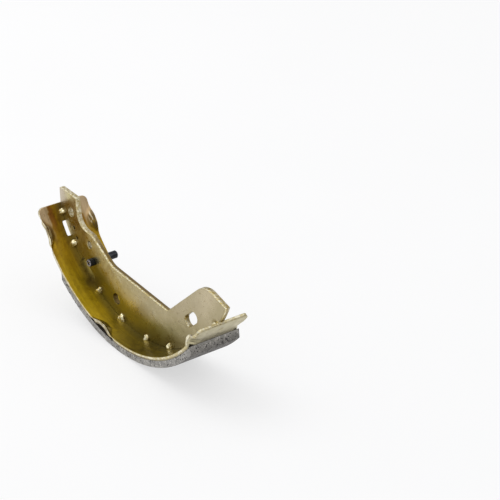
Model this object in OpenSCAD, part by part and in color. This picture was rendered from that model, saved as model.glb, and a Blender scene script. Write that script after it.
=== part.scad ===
// Drum brake shoe: a curved rim of sheet steel, an upright web plate welded along
// the middle of the rim, a bonded friction lining and a stop peg through the web.
// X runs along the arc, Y across the shoe, Z up. The shoe stands on the crown of its
// lining, with the origin on the floor below the drum axis, in the middle of the web.
// Angles are degrees round the drum axis, counted from straight down towards +X.
// Depths are counted from the inner face of the rim towards the drum axis.

/* [Drum fit] */
// Radius of the friction face, which is the radius of the drum
drum_radius = 114; // [110:1:118]
// Width of the shoe across the rim
shoe_w = 39; // [36:1:42]

/* [Lining] */
// Thickness of the friction lining
lining_t = 5; // [4:0.5:6.5]
// How much narrower the lining is than the rim
lining_inset = 0.6; // [0.4:0.2:2]
// Angle from the crown to the left end of the lining
lining_left = 40; // [37:0.5:42]
// Angle from the crown to the right end of the lining
lining_right = 49.5; // [46:0.5:51]
// Length of the bevel at each end of the lining
lining_bevel = 4.5; // [2:0.5:6]

/* [Rim] */
// Thickness of the rim sheet
rim_t = 2.5; // [2:0.25:3]
// Angle from the crown to the left end of the rim
rim_left = 65; // [64:0.5:66]
// Angle from the crown to the right end of the rim
rim_right = 59; // [58.5:0.5:61]
// Corner radius at the left end of the rim
rim_left_corner = 4; // [2:0.5:6]
// Corner radius at the right end of the rim
rim_right_corner = 2.5; // [1:0.5:4]
// Width of the window in the rim that straddles the web
window_w = 9.6; // [8:0.2:12]

/* [Edge bumps] */
// How far each bump lifts the edge of the rim
bump_rise = 3.7; // [3:0.1:4.2]
// Length of a bump along the edge
bump_len = 20; // [18:0.5:21]
// How far a bump reaches in from the edge
bump_reach = 5.5; // [4.5:0.5:7]

/* [Web] */
// Thickness of the web plate
web_t = 4; // [3:0.25:5]
// Diameter of the hold-down hole
hold_down_d = 8; // [5:0.5:9]
// Diameter of the lever pivot hole
pivot_d = 7; // [5:0.5:8]
// Diameter of the large spring hole
spring_d = 5.5; // [4:0.5:6.5]
// Diameter of the two small spring holes
small_d = 2.7; // [2:0.1:3.5]
// Width of the slot in the tab
slot_w = 8; // [6:0.5:9]
// Length of the slot in the tab
slot_len = 16; // [14:0.5:18]
// Radius of a weld bead at the foot of the web
bead_r = 2.2; // [1.6:0.1:2.6]

/* [Peg] */
// Diameter of the stop peg
peg_d = 5.5; // [5:0.25:6.5]
// Wall of the rolled peg
peg_wall = 1.2; // [0.9:0.1:1.5]
// How far the peg stands out on the near side of the web
peg_near = 4; // [3:0.5:6]
// How far the peg stands out on the far side of the web
peg_far = 15; // [12:0.5:18]
// How much narrower the hole in the web is than the free peg, which it squeezes
peg_squeeze = 0.4; // [0.4:0.05:0.6]

/* [Hidden] */
$fn = 144;

// Radii of the three faces of the shoe
rim_out = drum_radius - lining_t;
rim_in = rim_out - rim_t;

// Middle of each pair of edge bumps, in degrees
bump_angles = [-54.8, -11.3, 52];
// Bumps are built with the edge lifted along a slope, so their profile is squeezed
bump_slope = atan(bump_rise / bump_reach);
// How far the feet of a bump run in under the face of the rim
bump_sink = 0.35;
// Height of the feet, from the drum axis
bump_base = -sqrt(pow(rim_in, 2) - pow(bump_len / 2, 2)) - bump_sink;
bump_height = (bump_rise - rim_in - bump_base) * cos(bump_slope);
// Sum of the crest radius and the foot radius that makes the wave run smoothly
bump_sum = (pow(bump_len / 2, 2) + pow(bump_height, 2)) / (2 * bump_height);
crest_r = 0.56 * bump_sum;
foot_r = bump_sum - crest_r;
// How far in from the edge the wave is drawn along the slope, for each unit of reach
bump_overrun = 1.6;
bump_run = bump_overrun * bump_reach;
// How far the wave is drawn below its base, and in how many steps each of its arcs bends
wave_under = 12;
wave_steps = 8;

// Welds between the web and the rim, in degrees
weld_angles = [-61.5, -48.7, -27.5, -11.7, 4.5, 19.5, 37.5, 55.8];
// How far the middle of a weld bead lies inside the web and above the rim
bead_sink = 0.3;
// The flat of a bead stays just inside the curve of the rim
bead_clear = bead_r * bead_r / (2 * rim_in) + 0.01;
// Spot marks that the welds leave in the outer face of the rim
mark_ball_r = 6;
mark_depth = 0.5;
// Sides that a ball is drawn with
ball_sides = 32;

// Waste that is left on before a piece is trimmed
trim = 1;
// Length of a cutter that goes right through the sheet of the rim
through = 4 * rim_t;
// How much a rounding arc reaches past the two edges that it meets
round_over = 0.01;
// How much wider the arc of a sheet corner is than the corner, so that it meets both
// edges at a slight angle
corner_bow = 1.03;

// Window in the rim: where its middle is, its length and its corner radius
window_angle = -55;
window_len = 11;
window_corner = 1;

// Corners of the web above its foot: angle, depth, rounding
web_corners = [
    [-60.5, -3, 0],
    [-71, 5, 0.5],
    [-65.8, 23.7, 2],
    [-53.4, 15.3, 10],
    [-46.3, 26.9, 6],
    [-26, 30, 15],
    [23.8, 25.8, 1.5],
    [63.8, 24, 15],
    [67.1, -17.8, 0],
    [45, -55, 0],
    [-45, -55, 0],
];

// Places in the web: angle and depth
hold_down_at = [-17, 10.8];
pivot_at = [-60.2, 12];
spring_at = [-43.3, 19.5];
small_at = [[-53.8, 8.4], [-49.6, 7]];
slot_at = [41.4, 16.2];
slot_end_r = slot_w / 2 - round_over;
peg_at = [-36.8, 13.4];
// Relief in the foot of the web below the peg: angle, length, height, corner radius
relief_angle = -37;
relief_len = 18;
relief_h = 5;
relief_corner = 2;

// Hole that squeezes the peg, and the length in which the peg opens again beside the web
peg_hole_d = peg_d - peg_squeeze;
peg_ease = 0.3;
peg_len = peg_near + web_t + peg_far;
peg_slit = 0.9;
peg_slit_turn = 200;
peg_chamfer = 0.6;

// Point in the side view, with the drum axis at the origin
function at(angle, depth) = [sin(angle), -cos(angle)] * (rim_in - depth);

// Unit vector from one point towards another
function towards(from, to) = (to - from) / norm(to - from);

// Distance from the corner b to where its rounding starts
function tangent_len(a, b, c, r) = r / tan(acos(towards(b, a) * towards(b, c)) / 2);

// Middle of the circle that rounds the corner b
function round_centre(a, b, c, r) =
    b + towards(b, b + towards(b, a) + towards(b, c)) * norm([tangent_len(a, b, c, r), r]);

// Everything is drawn round the drum axis and then set on the floor
module in_place() {
    translate([0, 0, drum_radius]) children();
}

// Stands a side view upright, as a plate of the given width about the mid-plane
module upright(width) {
    rotate([90, 0, 0]) linear_extrude(width, center = true) children();
}

// Turns a shape drawn at the crown to its place along the arc
module at_angle(angle) {
    rotate([0, -angle, 0]) children();
}

// Side view of a band between two radii and two angles, with straight ends.
// The bevels shorten the outer face at both ends.
module band(r_inner, r_outer, from, to, bevel = 0) {
    lean = atan(bevel / (r_outer - r_inner));
    start = [sin(from), -cos(from)] * r_inner;
    end = [sin(to), -cos(to)] * r_inner;
    start_line = [sin(from + lean), -cos(from + lean)];
    end_line = [sin(to - lean), -cos(to - lean)];
    intersection() {
        difference() {
            circle(r_outer);
            circle(r_inner);
        }
        polygon([
            [0, 0],
            start - start_line,
            start + start_line * 2 * r_outer,
            [0, -2 * r_outer],
            end + end_line * 2 * r_outer,
            end - end_line,
        ]);
    }
}

// Rectangle with rounded corners, centred
module rounded_rect(length, width, r) {
    square([length - 2 * r, width], center = true);
    square([length, width - 2 * r], center = true);
    for (x = [-1, 1], y = [-1, 1])
        translate([x * (length / 2 - r), y * (width / 2 - r)]) circle(r);
}

// Outline with true arcs: each rounded corner is cut straight across, and then a circle
// fills an outer corner or hollows an inner one. The first and last corners stay sharp.
module rounded_outline(corners) {
    points = [for (corner = corners) at(corner[0], corner[1])];
    last = len(points) - 1;
    middles = [for (i = [1 : last - 1]) if (corners[i][2] > 0) i];
    cut_points = [
        for (i = [0 : last])
            let (r = corners[i][2], b = points[i])
            if (r == 0) b
            else let (reach = tangent_len(points[i - 1], b, points[i + 1], r))
                each [b + towards(b, points[i - 1]) * reach, b + towards(b, points[i + 1]) * reach]
    ];
    inner = [for (i = middles) if (cross(points[i] - points[i - 1], points[i + 1] - points[i]) > 0) i];
    outer = [for (i = middles) if (cross(points[i] - points[i - 1], points[i + 1] - points[i]) < 0) i];
    difference() {
        union() {
            polygon(cut_points);
            for (i = outer)
                translate(round_centre(points[i - 1], points[i], points[i + 1], corners[i][2]))
                    circle(corners[i][2] + round_over);
        }
        for (i = inner)
            translate(round_centre(points[i - 1], points[i], points[i + 1], corners[i][2]))
                circle(corners[i][2] + round_over);
    }
}

// End view of an edge bump: a crest arc that runs smoothly into a foot arc on each side.
// The inset lowers the whole wave square to itself, by the thickness of the sheet.
module wave(inset) {
    crest_centre = [0, bump_height - crest_r];
    foot_centre = [bump_len / 2, foot_r];
    bend = atan2(foot_centre.x, foot_centre.y - crest_centre.y);
    turns = [for (i = [0 : wave_steps]) bend * i / wave_steps];
    crest = [for (turn = turns) crest_centre + (crest_r - inset) * [sin(turn), cos(turn)]];
    foot = [for (turn = turns) foot_centre - (foot_r + inset) * [sin(turn), cos(turn)]];
    right = concat(crest, [for (i = [wave_steps - 1 : -1 : 0]) foot[i]]);
    left = [for (i = [len(right) - 1 : -1 : 1]) [-right[i].x, right[i].y]];
    polygon(concat([[bump_len / 2, -wave_under], [-bump_len / 2, -wave_under]], left, right));
}

// Wave run along the slope of a bump, so that it rises towards the +Y edge
module sloped_wave(inset) {
    translate([0, shoe_w / 2, bump_base]) rotate([90 + bump_slope, 0, 0])
        linear_extrude(2 * bump_run, center = true) wave(inset);
}

// Draws a shape at every bump, at both edges of the rim
module at_bumps() {
    for (angle = bump_angles, side = [0, 1])
        at_angle(angle) mirror([0, side, 0]) children();
}

// Sheet that stands up inside the rim at a bump
module bump_sheet() {
    intersection() {
        sloped_wave(0);
        translate([-bump_len, shoe_w / 2 - bump_run, -rim_in - rim_t / 2])
            cube([2 * bump_len, bump_run + trim, bump_len]);
    }
}

// What is cut off a sharp corner of the sheet, for a corner at the origin
module corner_cut(r) {
    linear_extrude(through, center = true) difference() {
        translate([-trim, -r]) square(r + trim);
        translate([r, -r]) circle(corner_bow * r);
    }
}

// Rounds the two corners at one end of the rim
module rim_end_cuts(r) {
    for (side = [0, 1]) mirror([0, side, 0])
        translate([0, shoe_w / 2, -rim_in]) corner_cut(r);
}

// Rolled strip with its edges lifted at the bumps, trimmed to the width of the shoe
module rim_sheet() {
    difference() {
        intersection() {
            union() {
                upright(shoe_w + 2 * trim) band(rim_in, rim_out, -rim_left, rim_right);
                at_bumps() bump_sheet();
            }
            upright(shoe_w) circle(drum_radius);
        }
        at_bumps() sloped_wave(rim_t);
    }
}

module rim() {
    color([0.50, 0.42, 0.16]) in_place() difference() {
        rim_sheet();
        at_angle(-rim_left) rim_end_cuts(rim_left_corner);
        at_angle(rim_right) mirror([1, 0, 0]) rim_end_cuts(rim_right_corner);
        at_angle(window_angle) translate([0, 0, -rim_in]) linear_extrude(through, center = true)
            rounded_rect(window_len, window_w, window_corner);
        for (angle = weld_angles)
            at_angle(angle) translate([0, 0, mark_depth - rim_out - mark_ball_r])
                sphere(mark_ball_r, $fn = ball_sides);
    }
}

// Round hole in the side view of the web
module web_hole(place, d) {
    translate(at(place[0], place[1])) circle(d = d);
}

// Side view of the web plate with all its holes
module web_face() {
    difference() {
        intersection() {
            rounded_outline(web_corners);
            circle(rim_in);
        }
        web_hole(hold_down_at, hold_down_d);
        web_hole(pivot_at, pivot_d);
        web_hole(spring_at, spring_d);
        for (place = small_at) web_hole(place, small_d);
        web_hole(peg_at, peg_hole_d);
        translate(at(slot_at[0], slot_at[1])) rotate(slot_at[0])
            rounded_rect(slot_len, slot_w, slot_end_r);
        translate(at(relief_angle, 0)) rotate(relief_angle)
            rounded_rect(relief_len, 2 * relief_h, relief_corner);
    }
}

// Bead of weld metal in the corner between the web and the rim, flat where it meets the rim
module weld_bead() {
    difference() {
        rotate(45) sphere(bead_r, $fn = ball_sides);
        translate([0, 0, -bead_r - bead_sink]) cube(2 * bead_r, center = true);
    }
}

module web() {
    color([0.62, 0.54, 0.30]) in_place() union() {
        upright(web_t) web_face();
        for (angle = weld_angles, side = [-1, 1])
            at_angle(angle) translate([0, side * (web_t / 2 - bead_sink), bead_sink + bead_clear - rim_in])
                weld_bead();
    }
}

module friction_lining() {
    color([0.50, 0.50, 0.49]) in_place()
        upright(shoe_w - lining_inset)
            band(rim_out, drum_radius, -lining_left, lining_right, lining_bevel);
}

// Rolled steel peg: a tube with a slit along it, a chamfer at each end and a waist
// where the hole in the web squeezes it
module peg() {
    place = at(peg_at[0], peg_at[1]);
    r = peg_d / 2;
    waist_r = peg_hole_d / 2;
    color([0.14, 0.15, 0.17]) in_place()
        translate([place.x, web_t / 2 + peg_far, place.y]) rotate([90, 0, 0]) difference() {
            rotate_extrude() polygon([
                [r - peg_wall, 0],
                [r - peg_chamfer, 0],
                [r, peg_chamfer],
                [r, peg_far - 2 * peg_ease],
                [waist_r, peg_far - peg_ease],
                [waist_r, peg_far + web_t + peg_ease],
                [r, peg_far + web_t + 2 * peg_ease],
                [r, peg_len - peg_chamfer],
                [r - peg_chamfer, peg_len],
                [r - peg_wall, peg_len],
            ]);
            rotate(peg_slit_turn) translate([0, -peg_slit / 2, -trim])
                cube([r + trim, peg_slit, peg_len + 2 * trim]);
        }
}

rim();
web();
friction_lining();
peg();
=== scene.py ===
"""Looks of a drum brake shoe: plated rim and web, weld beads, friction lining and peg.

The shoe lies on its friction face. X runs along the arc, Y across the shoe and Z up, with
the origin on the floor straight below the drum axis. A piece is drawn in millimetres and
comes to metres when it is finished.
"""

from __future__ import annotations

import logging
import math
from dataclasses import dataclass
from enum import Enum
from typing import Iterable, Sequence

import bmesh
import bpy
from bmesh.types import BMEdge, BMesh, BMFace, BMVert
from bpy.types import Material, NodeSocket, Object
from mathutils import Matrix, Vector, noise

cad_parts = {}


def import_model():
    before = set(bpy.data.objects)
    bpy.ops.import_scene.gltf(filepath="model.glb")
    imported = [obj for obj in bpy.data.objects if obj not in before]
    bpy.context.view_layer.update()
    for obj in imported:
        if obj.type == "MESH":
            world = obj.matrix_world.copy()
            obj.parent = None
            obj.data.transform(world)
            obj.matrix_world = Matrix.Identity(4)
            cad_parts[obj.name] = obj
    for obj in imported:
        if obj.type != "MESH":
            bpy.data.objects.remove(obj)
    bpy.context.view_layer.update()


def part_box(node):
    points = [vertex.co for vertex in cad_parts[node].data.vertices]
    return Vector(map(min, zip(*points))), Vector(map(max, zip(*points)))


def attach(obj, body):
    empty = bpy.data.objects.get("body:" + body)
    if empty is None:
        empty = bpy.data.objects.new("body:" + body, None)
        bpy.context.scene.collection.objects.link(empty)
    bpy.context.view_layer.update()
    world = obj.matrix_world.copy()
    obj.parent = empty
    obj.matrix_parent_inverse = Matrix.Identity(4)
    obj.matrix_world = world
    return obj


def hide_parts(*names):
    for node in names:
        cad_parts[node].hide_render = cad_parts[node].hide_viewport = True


LOG = logging.getLogger("brake_shoe")
MM = 0.001
CUT_WALL = "cut_wall"
THROUGH_SHEET = "through_sheet"
PRESSED = "pressed"
FLAT_PLACE = "flat_place"
FRICTION_FACE = "friction_face"
HIGHLIGHT_ENDS = "highlight_ends"
AXIS_X = Vector((1.0, 0.0, 0.0))
AXIS_Y = Vector((0.0, 1.0, 0.0))
AXIS_Z = Vector((0.0, 0.0, 1.0))
EVEN = (1.0, 1.0, 1.0)
IN_SIDE_VIEW = (1.0, 0.0, 1.0)
SQUARE = ((-1, -1), (1, -1), (1, 1), (-1, 1))
Color = tuple[float, float, float]
Range = tuple[float, float]
Input = NodeSocket | Color | Vector | float


class Side(Enum):
    """The two sides of the web, by the sign of Y."""

    NEAR = -1
    FAR = 1


class Blend(Enum):
    """How one colour goes over another."""

    MIX = "MIX"
    MULTIPLY = "MULTIPLY"
    OVERLAY = "OVERLAY"


# Shared sizes


@dataclass(frozen=True)
class DrumFit:
    """Sizes that every piece of the shoe follows.

    Angles are degrees round the drum axis, counted from straight down towards +X. Depths
    are counted from the inner face of the rim towards the drum axis.
    """

    friction_radius: float = 114.0
    lining_thickness: float = 5.0
    sheet: float = 2.5
    width: float = 39.0
    web_thickness: float = 4.0
    weld_angles: tuple[float, ...] = (-61.5, -48.7, -27.5, -11.7, 4.5, 19.5, 37.5, 55.8)

    @property
    def rim_outside(self) -> float:
        """Radius of the outer face of the rim, where the lining is bonded on."""
        return self.friction_radius - self.lining_thickness

    @property
    def rim_inside(self) -> float:
        """Radius of the inner face of the rim, where the web stands."""
        return self.rim_outside - self.sheet

    @property
    def axis_point(self) -> Vector:
        """Point of the drum axis in the mid-plane of the web."""
        return Vector((0.0, 0.0, self.friction_radius))

    def arc(self, angle: float) -> float:
        """Turns an angle into a length along the inner face of the rim."""
        return self.rim_inside * math.radians(angle)

    def tilt(self, angle: float) -> Matrix:
        """Gives the turn that brings the crown to an angle."""
        return Matrix.Rotation(-math.radians(angle), 3, "Y")

    def on_radius(self, angle: float, radius: float, across: float = 0.0) -> Vector:
        """Finds a point from its angle, its distance from the drum axis and its place along Y."""
        turn = math.radians(angle)
        return Vector((radius * math.sin(turn), across, self.friction_radius - radius * math.cos(turn)))

    def at(self, angle: float, depth: float, across: float = 0.0) -> Vector:
        """Finds a point from its angle, its depth above the rim's inner face and its place along Y."""
        return self.on_radius(angle, self.rim_inside - depth, across)


# Mesh steps that several pieces share


def verts_of(geometry: Iterable[object]) -> list[BMVert]:
    """Keeps the vertices of an operator's output."""
    return [item for item in geometry if isinstance(item, BMVert)]


def smooth_step(value: float) -> float:
    """Eases a number from 0 to 1, and holds it there outside."""
    held = min(max(value, 0.0), 1.0)
    return held * held * (3.0 - 2.0 * held)


def everything(bm: BMesh) -> list[object]:
    """Lists all the geometry of a mesh, as its operators want it."""
    return bm.verts[:] + bm.edges[:] + bm.faces[:]


def round_corner(bm: BMesh, corner: BMVert, radius: float, segments: int) -> None:
    """Rounds one corner of a flat face, with a number of short edges."""
    ways = [(edge.other_vert(corner).co - corner.co).normalized() for edge in corner.link_edges]
    reach = radius / math.tan(ways[0].angle(ways[1]) / 2.0)
    bmesh.ops.bevel(
        bm,
        geom=[corner],
        offset=reach,
        offset_type="OFFSET",
        segments=segments,
        profile=0.5,
        affect="VERTICES",
        material=-1,
        clamp_overlap=False,
    )


def draw_face(bm: BMesh, points: Sequence[Vector], radii: Sequence[float], segments: int) -> list[BMVert]:
    """Draws one face with rounded corners.

    Args:
        bm: The mesh.
        points: The corners.
        radii: The rounding of each corner, 0 where it stays sharp.
        segments: Number of short edges in a rounding.

    Returns:
        The corners, of which the rounded ones have left the mesh.
    """
    corners = [bm.verts.new(point) for point in points]
    bm.faces.new(corners)
    for corner, radius in zip(corners, radii):
        if radius > 0.0:
            round_corner(bm, corner, radius, segments)
    return corners


def draw_outline(
    bm: BMesh, points: Sequence[Vector], radii: Sequence[float], segments: int = 8
) -> list[BMVert]:
    """Draws the edges of such a face alone."""
    corners = draw_face(bm, points, radii, segments)
    bmesh.ops.delete(bm, geom=bm.faces[:], context="FACES_ONLY")
    return corners


def spin(bm: BMesh, geometry: list[object], middle: Vector, axis: Vector, turn: float, steps: int) -> None:
    """Sweeps geometry round an axis through a point."""
    bmesh.ops.spin(bm, geom=geometry, cent=middle, axis=axis, angle=turn, steps=steps, use_duplicate=False)


def fill_outline(bm: BMesh) -> list[BMFace]:
    """Fills the closed loops of a flat drawing with few faces, and leaves its inner loops as holes."""
    bmesh.ops.remove_doubles(bm, verts=bm.verts[:], dist=1e-3)
    bmesh.ops.triangle_fill(bm, use_beauty=True, use_dissolve=False, edges=bm.edges[:])
    inner = [edge for edge in bm.edges if len(edge.link_faces) == 2]
    bmesh.ops.dissolve_limit(
        bm, angle_limit=0.01, use_dissolve_boundaries=False, verts=[], edges=inner, delimit=set()
    )
    return bm.faces[:]


def thicken(bm: BMesh, sheet: list[BMFace], way: Vector, edge_radius: float) -> None:
    """Makes a flat sheet of faces a closed plate with rounded edges.

    Args:
        bm: The mesh, which holds only the sheet.
        sheet: The faces of the sheet.
        way: Direction and full thickness of the plate, square to the sheet.
        edge_radius: Radius of the rounding along every edge of both faces.
    """
    unit = way.normalized()
    result = bmesh.ops.extrude_face_region(bm, geom=sheet)
    bmesh.ops.translate(bm, verts=verts_of(result["geom"]), vec=way - unit * 2.0 * edge_radius)
    bmesh.ops.translate(bm, verts=bm.verts[:], vec=unit * edge_radius)
    bmesh.ops.recalc_face_normals(bm, faces=bm.faces[:])
    for outward in (unit, -unit):
        cap = [face for face in bm.faces if face.normal.dot(outward) > 0.99]
        round_border(bm, cap, outward, edge_radius)


def round_border(bm: BMesh, cap: list[BMFace], outward: Vector, radius: float, steps: int = 3) -> None:
    """Rounds the border of a flat cap with rings that follow a quarter circle.

    Args:
        bm: The mesh.
        cap: The faces of the cap.
        outward: Unit direction that the cap faces.
        radius: Radius of the rounding.
        steps: Number of rings.
    """
    for step in range(steps):
        start, end = (0.5 * math.pi * count / steps for count in (step, step + 1))
        bmesh.ops.inset_region(
            bm,
            faces=cap,
            use_boundary=True,
            use_even_offset=True,
            thickness=radius * (math.cos(start) - math.cos(end)),
        )
        raised = {vert for face in cap for vert in face.verts}
        rise = radius * (math.sin(end) - math.sin(start))
        bmesh.ops.translate(bm, verts=list(raised), vec=outward * rise)


def slice_mesh(bm: BMesh, axis: Vector, places: Iterable[float]) -> None:
    """Cuts a mesh across at each place along an axis, and keeps both sides."""
    for place in places:
        bmesh.ops.bisect_plane(bm, geom=everything(bm), dist=1e-4, plane_co=axis * place, plane_no=axis)


def mark_cut_walls(bm: BMesh, face_axis: Vector, thickness: float) -> None:
    """Stores on every vertex of a flat plate whether it is on a cut wall, and where between the faces."""
    wall = bm.verts.layers.float.new(CUT_WALL)
    through = bm.verts.layers.float.new(THROUGH_SHEET)
    bm.normal_update()
    for vert in bm.verts:
        vert[wall] = 1.0 - smooth_step(abs(vert.normal.dot(face_axis)))
        vert[through] = vert.co.dot(face_axis) / thickness


def add_object(name: str, data: bpy.types.ID) -> Object:
    """Puts a new object with the given data into the scene."""
    item = bpy.data.objects.new(name, data)
    bpy.context.scene.collection.objects.link(item)
    return item


def finish_piece(name: str, bm: BMesh, material: Material, sharp_above: float = 40.0) -> Object:
    """Turns a drawing in millimetres into a dressed object in metres.

    Args:
        name: Name of the piece.
        bm: The drawing, which is used up.
        material: Finish of the piece.
        sharp_above: Edges that turn by more degrees than this stay sharp.

    Returns:
        The new object, at the origin.
    """
    bmesh.ops.remove_doubles(bm, verts=bm.verts[:], dist=1e-4)
    bmesh.ops.recalc_face_normals(bm, faces=bm.faces[:])
    bmesh.ops.scale(bm, vec=Vector((MM, MM, MM)), verts=bm.verts[:])
    mesh = bpy.data.meshes.new(name)
    bm.to_mesh(mesh)
    bm.free()
    mesh.materials.append(material)
    mesh.shade_smooth()
    mesh.set_sharp_from_angle(angle=math.radians(sharp_above))
    piece = add_object(name, mesh)
    piece.modifiers.new("flat_faces_first", "WEIGHTED_NORMAL").keep_sharp = True
    return piece


# Finishes


def feed(tree: bpy.types.NodeTree, value: Input, socket: NodeSocket) -> None:
    """Links an output to an input, or sets a number, a place or a colour there."""
    if isinstance(value, NodeSocket):
        tree.links.new(value, socket)
    else:
        socket.default_value = (*value, 1.0) if socket.type == "RGBA" else value


def add_node(
    tree: bpy.types.NodeTree, kind: str, inputs: dict[str | int, Input] | None = None, **settings: str
) -> bpy.types.bpy_prop_collection:
    """Adds a node.

    Args:
        tree: The node tree.
        kind: Type of the node, without the part that all types share.
        inputs: What goes into its inputs, by their names or numbers.
        settings: What its other properties are set to.

    Returns:
        The outputs of the node.
    """
    node = tree.nodes.new("ShaderNode" + kind)
    for name, value in settings.items():
        setattr(node, name, value)
    for place, value in (inputs or {}).items():
        feed(tree, value, node.inputs[place])
    return node.outputs


class ShaderSheet:
    """Lays out the nodes of one material, with places on the piece in millimetres."""

    def __init__(self, name: str) -> None:
        """Starts a material with one Principled shader."""
        self.material = bpy.data.materials.new(name)
        self.material.use_nodes = True
        self.tree = self.material.node_tree
        self.shader = self.tree.nodes["Principled BSDF"]
        self.color: NodeSocket | Color = EVEN
        self.normal: NodeSocket | None = None
        where = add_node(self.tree, "TexCoord")["Object"]
        self.place = self._scaled(where, (1.0 / MM, 1.0 / MM, 1.0 / MM))
        self.flat_place = self.attribute(FLAT_PLACE, "Vector")

    def _scaled(
        self, source: NodeSocket, scale: Sequence[float] = EVEN, shift: Sequence[float] = (0.0, 0.0, 0.0)
    ) -> NodeSocket:
        """Stretches and shifts a place."""
        return add_node(self.tree, "Mapping", {"Vector": source, "Scale": scale, "Location": shift})["Vector"]

    def set(self, **values: NodeSocket | float) -> None:
        """Gives inputs of the shader a pattern, or a number that is the same all over the piece."""
        for name, value in values.items():
            label = name.replace("_", " ").title().replace("Ior", "IOR")
            feed(self.tree, value, self.shader.inputs[label])

    def pattern(
        self,
        size: float,
        detail: float = 3.0,
        roughness: float = 0.55,
        stretch: Sequence[float] = EVEN,
        shift: float = 0.0,
        rolled: bool = False,
    ) -> NodeSocket:
        """Makes a cloudy pattern.

        Args:
            size: Width of its patches, in millimetres.
            detail: How many finer layers it has.
            roughness: How strong the finer layers are.
            stretch: Scale along X, Y and Z; a small number draws the patches out.
            shift: Moves the pattern, so that two of the same size differ.
            rolled: Lays the pattern on the flat blank, so that it follows the arc.

        Returns:
            A number about 0.5.
        """
        place = self.flat_place if rolled else self.place
        where = self._scaled(place, stretch, (shift, 0.7 * shift, 1.3 * shift))
        look = {"Vector": where, "Scale": 1.0 / size, "Detail": detail, "Roughness": roughness}
        return add_node(self.tree, "TexNoise", look)["Fac"]

    def cells(self, size: float, shift: float = 0.0) -> NodeSocket:
        """Makes grains of the given size: the distance from the middle of each."""
        where = self._scaled(self.place, shift=(shift, shift, shift))
        return add_node(self.tree, "TexVoronoi", {"Vector": where, "Scale": 1.0 / size})["Distance"]

    def attribute(self, name: str, part: str = "Fac") -> NodeSocket:
        """Reads a number, or another part, of what is stored on the mesh."""
        return add_node(self.tree, "Attribute", attribute_name=name)[part]

    def along(self, axis: str) -> NodeSocket:
        """Reads a place along X, Y or Z, in millimetres."""
        return add_node(self.tree, "SeparateXYZ", {0: self.place})[axis]

    def off_middle(self) -> NodeSocket:
        """Reads the distance from the mid-plane of the shoe."""
        return self.combine("ABSOLUTE", self.along("Y"), 0.0)

    def away_from(self, point: Vector, stretch: Sequence[float] = EVEN) -> NodeSocket:
        """Reads the distance from a point, in millimetres; a stretch of 0 leaves an axis out."""
        ends = {0: self._scaled(self.place, stretch), 1: point}
        return add_node(self.tree, "VectorMath", ends, operation="DISTANCE")["Value"]

    def span(
        self, source: NodeSocket, low: float, high: float, start: float = 0.0, end: float = 1.0
    ) -> NodeSocket:
        """Maps the numbers from low to high onto start to end, smoothly and held there."""
        ends = {"Value": source, "From Min": low, "From Max": high, "To Min": start, "To Max": end}
        return add_node(self.tree, "MapRange", ends, interpolation_type="SMOOTHSTEP")["Result"]

    def along_x(self, low: float, high: float, start: float = 0.0, end: float = 1.0) -> NodeSocket:
        """Maps the places along X in the same way."""
        return self.span(self.along("X"), low, high, start, end)

    def combine(self, how: str, first: NodeSocket, second: NodeSocket | float) -> NodeSocket:
        """Does one sum with two numbers, such as MINIMUM."""
        return add_node(self.tree, "Math", {0: first, 1: second}, operation=how)[0]

    def times(self, first: NodeSocket, second: NodeSocket | float) -> NodeSocket:
        """Multiplies two numbers."""
        return self.combine("MULTIPLY", first, second)

    def ragged(self, source: NodeSocket, strength: float, size: float, **look: float) -> NodeSocket:
        """Adds a cloudy pattern to a number, so that a border drawn by it is ragged."""
        return self.combine("ADD", source, self.times(self.pattern(size, **look), strength))

    def mix(
        self,
        share: NodeSocket | float,
        under: NodeSocket | Color,
        over: NodeSocket | Color,
        blend: Blend = Blend.MIX,
    ) -> NodeSocket:
        """Lays one colour over another.

        Args:
            share: How much of the upper colour shows.
            under: The lower colour.
            over: The upper colour.
            blend: How the two go together.

        Returns:
            The colour that results.
        """
        layers = {0: share, 6: under, 7: over}
        return add_node(self.tree, "Mix", layers, data_type="RGBA", blend_type=blend.value)[2]

    def lay(self, over: NodeSocket | Color, *shares: NodeSocket | float, blend: Blend = Blend.MIX) -> None:
        """Lays a colour over the ones before it, by a share or by the product of several."""
        share, *others = shares
        for other in others:
            share = self.times(share, other)
        self.color = self.mix(share, self.color, over, blend)

    def relief(self, pattern: NodeSocket, height: float) -> None:
        """Lays a fine relief over the ones before it, with its height in millimetres."""
        inputs = {"Height": pattern, "Distance": height * MM}
        if self.normal is not None:
            inputs["Normal"] = self.normal
        self.normal = add_node(self.tree, "Bump", inputs)["Normal"]
        self.set(normal=self.normal)


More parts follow.
